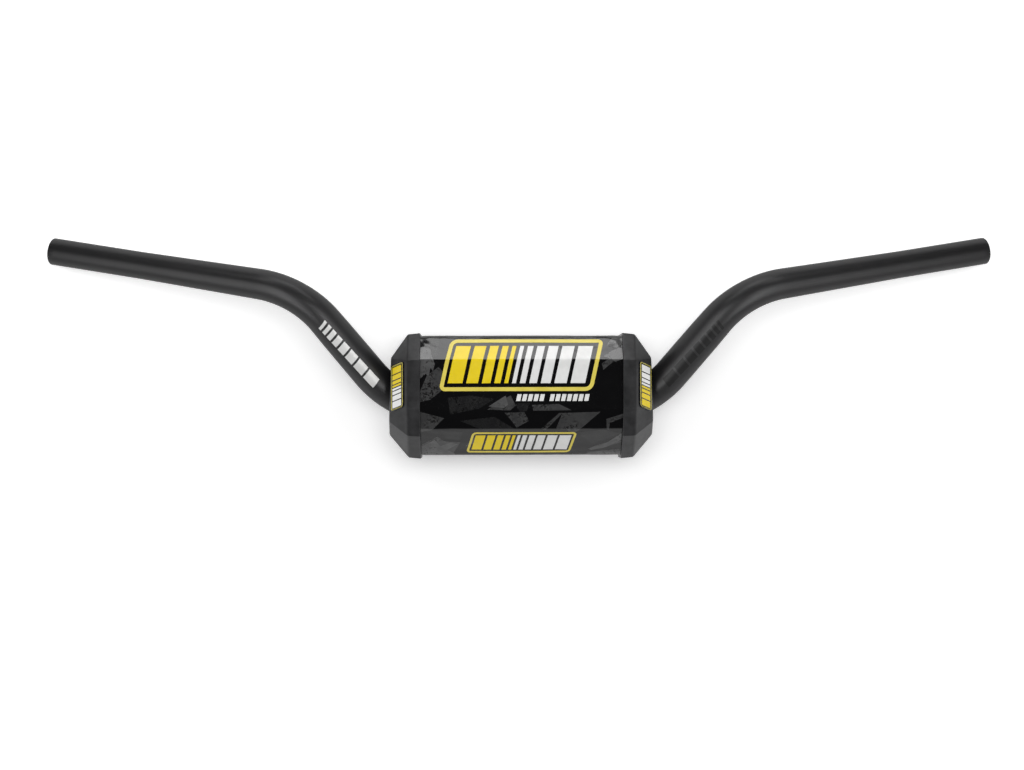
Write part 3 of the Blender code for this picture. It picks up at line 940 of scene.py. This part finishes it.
def build_strap(name, side):
    path = strap_path()
    half = STRAP_THICK / 2 - 0.05
    lo, hi = STRAP_X
    bm = bmesh.new()
    bm.loops.layers.uv.new("UVMap")
    profile = [(lo + 0.4 + (hi - lo - 0.8) * k / 22, -half + (0.12 if k in (1, 21) else 0))
               for k in range(23)]
    profile += [(hi, -half + 0.35), (hi, half - 0.35)]
    profile += [(x, half) for x, _ in reversed(profile[:23])]
    profile += [(lo, half - 0.35), (lo, -half + 0.35)]
    rings = []
    for i, (w, u) in enumerate(path):
        a, b = path[max(0, i - 1)], path[min(len(path) - 1, i + 1)]
        along = Vector((b[0] - a[0], b[1] - a[1])).normalized()
        thin = 0.55 if i in (0, len(path) - 1) else 1
        rings.append([bm.verts.new(at(side * x, w + along.y * lift * thin, u - along.x * lift * thin))
                      for x, lift in profile])
    map_skin(bm, rings, lambda row, k: (profile[k % len(profile)][0], row * STRAP_LENGTH / STRAP_STEPS))
    bm.faces.new(rings[0])
    bm.faces.new(rings[-1])
    strap = finish(name, bm, WEBBING, 50)
    w_out = path[0][0] - STRAP_THICK / 2
    x0, x1, u0, u1 = lo + 2.2, hi - 2.2, STRAP_U[0] - 2, STRAP_U[1] + 1
    box = [[(at(side * x, w_out, u), -W_DIR) for x, u in ends]
           for ends in (((x0, u0), (x1, u0)), ((x1, u0), (x1, u1)), ((x1, u1), (x0, u1)),
                        ((x0, u1), (x0, u0)), ((x0, u0), (x1, u1)), ((x1, u0), (x0, u1)))]
    return strap, threads(name + "_stitches", box, 0.34, 2.6, 0.05)


def build_patch(name, side):
    """Brushed loop tape with a ragged pile."""
    w_in = -(PAD_BACK + bulge(STRAP_X[0]) + GAP)
    lo, hi = STRAP_X[0] + 1, STRAP_X[1] - 1
    top, low = PATCH_U
    across, down = 60, 56
    bm = bmesh.new()
    grid = []
    for i in range(down + 1):
        row = []
        for k in range(across + 1):
            x, u = lo + (hi - lo) * k / across, low + (top - low) * i / down
            rim = min(k, across - k, i, down - i) / 3
            pile = 0.25 * ripple(x * 1.7, u * 1.7, side * 4)
            depth = PATCH_THICK - 0.3 + pile - 0.7 * max(0, 1 - rim) ** 2
            row.append(bm.verts.new(at(side * x, w_in - depth, u)))
        grid.append(row)
    for a, b in zip(grid, grid[1:]):
        join_rings(bm, a, b, ring=False)
    border = grid[0] + [row[-1] for row in grid[1:]] + list(reversed(grid[-1][:-1]))
    border += [row[0] for row in reversed(grid[1:-1])]
    spots = [v.co / MM for v in border]
    base = [bm.verts.new((spot + W_DIR * (w_in - spot.dot(W_DIR))) * MM) for spot in spots]
    join_rings(bm, border, base)
    bm.faces.new(base)
    return finish(name, bm, FUZZ, 80)


# Printed shapes: generic bars, frames and shards

def build_prints():
    """Own generic layout: two framed runs of slanted bars, a row of dashes, and angular shards."""
    big = [(-57.5, -19.8), (67.5, -19.8), (57.5, 25.2), (-67.5, 25.2)]
    small = [(-40, 61), (45.5, 61), (40, 85.2), (-45.5, 85.2)]
    frames = stroke(big, 3.2, [7.5, 4, 7.5, 4]) + stroke(small, 1.9, [4.5, 2.5, 4.5, 2.5])
    in_big, in_small, dashes = (3.1, -13.4, 18.8), (1.8, 64.6, 81.6), (1.3, 27.7, 33.3)
    yellow = bars(-56.6, (12, 9.5, 7, 5, 3.2), *in_big)
    yellow += bars(-39.2, (8, 6.4, 5, 3.6, 2.4), *in_small)
    white = bars(-4.4, (3.2, 4.6, 6.2, 8, 10, 12), *in_big)
    white += bars(-4.8, (2.4, 3.6, 5, 6.4, 8, 9.6), *in_small)
    white += bars(-4, (3.4,) * 5, *dashes) + bars(23, (3.4,) * 7, *dashes)

    def shards(*outlines):
        """Outlines given as x, s, x, s and so on."""
        return [list(zip(spots[::2], spots[1::2])) for spots in outlines]

    grey_shards = shards(
        (-82.4, 25, -77, 12.5, -67.5, 5.5, -64.5, 9, -65.5, 25, -74, 32, -82.4, 34),
        (-82.4, 42, -63, 47.5, -73, 58, -82.4, 60.5),
        (-28, 40.2, -9, 28.5, -5, 37, -9.5, 41),
        (-14, 43, 2, 42.4, 6, 50, -4, 56, -9, 49),
        (8, 36.4, 30, 35.6, 40.5, 40.8, 9.5, 41.2),
        (33, 43.2, 64, 42.2, 43, 62, 36, 58, 28, 57),
        (15.5, 57.5, 30.5, 43.2, 33.2, 43.2, 19.5, 58.5),
        (65, 3, 72.5, -2, 75, 1, 66.5, 8),
        (69, 48.5, 82.4, 44, 82.4, 47.5, 72, 52, 71, 58.5, 69.5, 57),
        (-82.4, 76, -69, 66, -64, 71, -50, 72.5, -57, 88.5, -82.4, 90),
        (57, 79, 82.4, 67.5, 82.4, 73, 66, 80.5),
        (54, 84.5, 82.4, 81, 82.4, 88.5, 56, 88.5),
        (-60, -22.5, -30, -23.5, -34, -21, -62, -20.8),
        (20, -23.6, 58, -22.4, 62, -20.6, 24, -21))
    light_shards = shards(
        (-82.4, -12, -75, -14, -73, -4, -70.5, 3, -72, 9, -74, 6, -75.5, 13, -78, 11, -82.4, 15),
        (66, -3.5, 74, -9, 82.4, -13, 82.4, -1, 76.5, 1.5, 72, -1),
        (69.5, -14, 74, -21, 82.4, -21.5, 82.4, -15.5, 78, -11.5),
        (-27, 37.6, -13, 28.8, -11, 36, -14.5, 39),
        (-82.4, 78, -71, 70, -66.5, 77.5, -58, 73, -52, 75, -61, 82, -54, 87, -82.4, 90),
        (-46, 78, -41, 70, -37.5, 66, -39.5, 74),
        (55, 80.5, 68, 75.5, 82.4, 62, 82.4, 70, 70, 79, 58, 82.5),
        (50, 88, 62, 84, 82.4, 84.5, 82.4, 89, 60, 90),
        (6, 87.5, 30, 86.8, 44, 88.6, 20, 89.8))
    dark_shards = shards(
        (-60, 30.5, -42, 28.8, -22, 31.5, -34, 39, -58, 44.5),
        (-82.4, -22, -66, -22.5, -69, -4, -82.4, 3),
        (-6, 35.5, 6.5, 34.8, 4, 41.5, -1, 42.5),
        (-50, 50, -22, 46.5, -6, 57, -30, 59),
        (-66, 59, -48, 60, -51, 70, -62, 68),
        (46, 61, 66, 58, 82.4, 62, 58, 75))
    return [print_on_film("print_" + name, shapes, mat, top) for name, shapes, mat, top in (
        ("shards_dark", dark_shards, GREY_DARK, 0.05), ("shards_grey", grey_shards, GREY, 0.08),
        ("shards_light", light_shards, GREY_LIGHT, 0.11), ("frames", frames, YELLOW_PALE, 0.14),
        ("yellow", yellow, YELLOW, 0.14), ("white", white, WHITE, 0.14))]


def slot_edge(x, lower):
    """u of the slot's edge on the pad's back at this x."""
    rows = list(zip(SLOT_STATIONS, SLOT_RINGS))
    index = -3 if lower else 0
    for (x0, a), (x1, b) in zip(rows, rows[1:]):
        if x <= x1:
            t = (x - x0) / (x1 - x0)
            return a[index][1] + (b[index][1] - a[index][1]) * t
    return rows[-1][1][index][1]


def back_s(u):
    """The film's s at this height on its back facet."""
    spots = [100 + 80 * k / 400 for k in range(400)]

    def miss(s):
        w, here = film_base(s)[0]
        return abs(here - u) + (50 if w > 0.1 - PAD_BACK else 0)

    return min(spots, key=miss)


def build_hems():
    """Folded hems along the slot and the pocket behind, with a row of stitches on each."""
    lines = []
    for side in (-1, 1):
        for lower in (False, True):
            xs = [POCKET_HALF + 26 * k / 13 for k in range(14)]
            edge = [(side * x, back_s(slot_edge(x, lower))) for x in xs]
            lines.append((edge, -1 if lower else 1))
    top = [(x, back_s(POCKET[1][1])) for x in [-57 + 114 * k / 38 for k in range(39)]]
    lines.append((top, 1))
    shapes, paths = [], []
    for edge, way in lines:
        for (x0, s0), (x1, s1) in zip(edge, edge[1:]):
            near, far = way * 0.3, way * 5.3
            shapes.append(((x0, s0 + near), (x1, s1 + near), (x1, s1 + far), (x0, s0 + far)))
        paths.append([(film_point(x, s + way * 3.9, 0.55), -W_DIR) for x, s in edge])
    hems = print_on_film("cover_hems", shapes, FILM_BLACK, 0.5, 0.02)
    return hems, threads("cover_hem_stitches", paths, 0.30, 3)


# Everything in place

def dress(thing, slot, *nodes):
    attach(thing, "root")
    if nodes:
        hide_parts(*nodes)
    return thing


dress(build_bar(), "satin_black_bar", "handlebar_tube")
film = dress(build_film(), "gloss_vinyl", "pad_cover")
foam = dress(build_foam(), "black_foam", "pad_foam")
for piece, slot in zip(build_prints(), (None, None, None, "yellow_label", "yellow_label", None)):
    dress(piece, slot)
for piece, slot in zip(build_hems(), ("gloss_vinyl", "black_webbing")):
    dress(piece, slot)
for word, side in (("left", -1), ("right", 1)):
    dress(build_cap("cap_shell_" + word, side), "grey_rubber", "end_cap_" + word)
    plate, *prints = build_label("cap_sticker_" + word, side)
    dress(plate, "gloss_vinyl", "cap_label_" + word)
    for piece, slot in zip(prints, ("yellow_label", "yellow_label", None)):
        dress(piece, slot)
    strap, sewn = build_strap("strap_webbing_" + word, side)
    dress(strap, "black_webbing", "closure_strap_" + word)
    dress(sewn, "black_webbing")
    dress(build_patch("loop_pile_" + word, side), "black_loop", "loop_patch_" + word)

ARM_LINES = ([v * 2 for v in range(-20, 60)], [v * 0.8 for v in range(-20, 21)])
arm_bars = bars(-4.5, (12.8, 10.8, 8.8, 7.2, 5.6, 4.5, 3.4, 2.4), 2, -4.4, 4.4, 0.25)
for word, side, mat, slot in (("left", -1, WHITE, None), ("right", 1, TONAL, "satin_black_bar")):
    marks = lay("arm_marks_" + word, arm_bars, arm_place(side), mat, lambda c: W_DIR, 0.06, lines=ARM_LINES)
    dress(marks, slot)


# The stage: a white table that the bar lies on, seen from straight above it

TABLE_SIZE = 2600
# The glow that grows away from the pad is painted light: it pales the bar's shadows under the arms.
TABLE_GLOW, TABLE_FADE = 0.33, (70, 450)  # its own white near the bar, and where that grows to 1
TABLE_ON_PAD, TABLE_ON_ARM = (-28, -30), (1, 132.8)  # (w, u) that it touches
LAMP_AIM = (0, 0, 0.03)
# The camera, from the fit to the photograph
CAMERA_LENS, CAMERA_AWAY, CAMERA_AIM = 62.97, 1.5, (-0.0074, 0.0205)
CAMERA_AZ, CAMERA_EL, CAMERA_ROLL = -1.39, 32.06, 0.445


def white_to_camera(tree, shaded, share):
    """Adds to a shaded surface plain white that only camera, glossy and clear rays see."""
    path = put(tree, "LightPath").outputs
    seen = math_of(tree, "MAXIMUM", path["Is Camera Ray"],
                   math_of(tree, "MAXIMUM", path["Is Glossy Ray"], path["Is Transmission Ray"]))
    none, glow = (put(tree, "Emission", {"Color": (v, v, v, 1), "Strength": strength}).outputs[0]
                  for v, strength in ((0, 0), (1, share)))
    return put(tree, "AddShader", {0: shaded, 1: pick(seen, none, glow)}).outputs[0]


def build_table():
    """White cloth under the two points that the bar rests on. From behind it can't be seen."""
    pad_rest, arm_rest = (W_DIR * w + U_DIR * u for w, u in (TABLE_ON_PAD, TABLE_ON_ARM))
    up = (arm_rest - pad_rest).normalized()
    bm = bmesh.new()
    steps = [TABLE_SIZE * (i / 8 - 0.5) for i in range(9)]
    rows = [[bm.verts.new((pad_rest + Vector((x, 0, 0)) + up * v) * MM) for x in steps] for v in steps]
    for a, b in zip(rows, rows[1:]):
        join_rings(bm, a, b, ring=False)
    mat = bpy.data.materials.new("table_white")
    mat.use_nodes = True
    tree = mat.node_tree
    tree.nodes.clear()
    out = put(tree, "OutputMaterial")
    diffuse = put(tree, "BsdfDiffuse", {"Color": (0.92, 0.92, 0.92, 1)})
    # Painted light: the glow grows away from the pad, which pales the shadows under the arms.
    here = place_vector(tree, (0.42, 1, 1))
    away = put(tree, "VectorMath", {0: here}, operation="LENGTH").outputs["Value"]
    front = white_to_camera(tree, diffuse.outputs[0], spread(away, TABLE_GLOW, 1, *TABLE_FADE))
    clear = put(tree, "BsdfTransparent").outputs[0]
    back = put(tree, "NewGeometry").outputs["Backfacing"]
    tree.links.new(pick(back, front, clear), out.inputs["Surface"])
    table = face_out(finish("table", bm, mat, 30, solid=False), lambda c: W_DIR)
    table.visible_shadow = table.visible_diffuse = False


def build_world():
    """White to the camera. Reflections see a white studio with a dark side behind the camera."""
    world = bpy.data.worlds.new("studio")
    world.use_nodes = True
    scene.world = world
    tree = world.node_tree
    tree.nodes.clear()
    out = put(tree, "OutputWorld")
    path = put(tree, "LightPath").outputs
    look = put(tree, "TexCoord").outputs["Generated"]
    ahead, above = dot(tree, look, W_DIR), dot(tree, look, U_DIR)

    def shine(strength):
        return put(tree, "Background", {"Color": (1, 1, 1, 1), "Strength": strength}).outputs[0]

    front = times(spread(ahead, 1, 0.04, 0.05, 0.55), spread(above, 1, 0.04, 0.25, 0.75))
    rear = times(spread(ahead, 1, 0, -0.45, -0.15), spread(above, 1, 0.55, -0.5, 0.9))
    behind = spread(ahead, 1, 0, 0.10, 0.40)
    light = plus(times(behind, 0.95),
                 times(math_of(tree, "SUBTRACT", 1, behind), spread(above, 0.12, 0.85, -0.35, 0.10)))
    unseen = pick(path["Is Glossy Ray"], shine(light), shine(math_of(tree, "MAXIMUM", front, rear)))
    seen = math_of(tree, "MAXIMUM", path["Is Camera Ray"], path["Is Transmission Ray"])
    tree.links.new(pick(seen, unseen, shine(1)), out.inputs["Surface"])


def softbox(name, place, aim, size, power, diffuse=False):
    """A lamp that only gives shade, or only a highlight."""
    light = bpy.data.lights.new(name, "AREA")
    light.shape, light.energy = "RECTANGLE", power
    light.size, light.size_y = size
    thing = linked(name, light)
    thing.location = place
    thing.rotation_euler = (Vector(aim) - Vector(place)).to_track_quat("-Z", "Y").to_euler()
    thing.visible_diffuse, thing.visible_glossy, thing.visible_camera = diffuse, not diffuse, False
    return thing


def toward(up):
    """A direction that many degrees up from the table's camera side."""
    return W_DIR * math.cos(math.radians(up)) + U_DIR * math.sin(math.radians(up))


def build_camera():
    lens = bpy.data.cameras.new("camera")
    lens.sensor_width, lens.lens = 36, CAMERA_LENS
    lens.clip_start, lens.clip_end = 0.05, 20
    camera = linked("camera", lens)
    az, el = math.radians(CAMERA_AZ), math.radians(CAMERA_EL)
    way = Vector((math.sin(az) * math.cos(el), -math.cos(az) * math.cos(el), math.sin(el)))
    right = Vector((math.cos(az), math.sin(az), 0))
    up = right.cross(-way)
    camera.location = way * CAMERA_AWAY
    look = (right * CAMERA_AIM[0] + up * CAMERA_AIM[1] - camera.location).normalized()
    turn = look.to_track_quat("-Z", "Y").to_matrix().to_4x4()
    camera.rotation_euler = (turn @ Matrix.Rotation(math.radians(CAMERA_ROLL), 4, "Z")).to_euler()
    scene.camera = camera


def build_lamps():
    """One lamp for shade, one gleam for all, and gleams that only the bar takes."""
    softbox("front", toward(8) * 1.3, LAMP_AIM, (0.90, 0.45), 6.2, diffuse=True)
    softbox("top_gleam", toward(61) * 0.95, LAMP_AIM, (0.56, 0.30), 2.4)
    bar_pieces = bpy.data.collections.new("bar_pieces")
    for name in ("bar_tube", "arm_marks_left", "arm_marks_right"):
        bar_pieces.objects.link(bpy.data.objects[name])
    for word, side, power in (("left", -1, 3.7), ("right", 1, 2.9)):
        for name, w, u, x, aim_x, aim_z, size, energy in (
                ("grip_gleam_", 0.82, -0.25, 0.92, 0.15, 0.05, (0.35, 1), power),
                ("bend_gleam_", 0.95, -0.42, 0.49, 0.15, 0.03, (0.36, 1.10), 7.3),
                ("bend_top_", 0.72, 0.70, -0.42, 0.18, 0.06, (0.28, 0.28), 1.15)):
            gleam = softbox(name + word, W_DIR * w + U_DIR * u + Vector((side * x, 0, 0)),
                            (side * aim_x, 0, aim_z), size, energy)
            gleam.light_linking.receiver_collection = bar_pieces


build_table()
build_world()
build_lamps()
build_camera()

scene.view_settings.view_transform = "Standard"
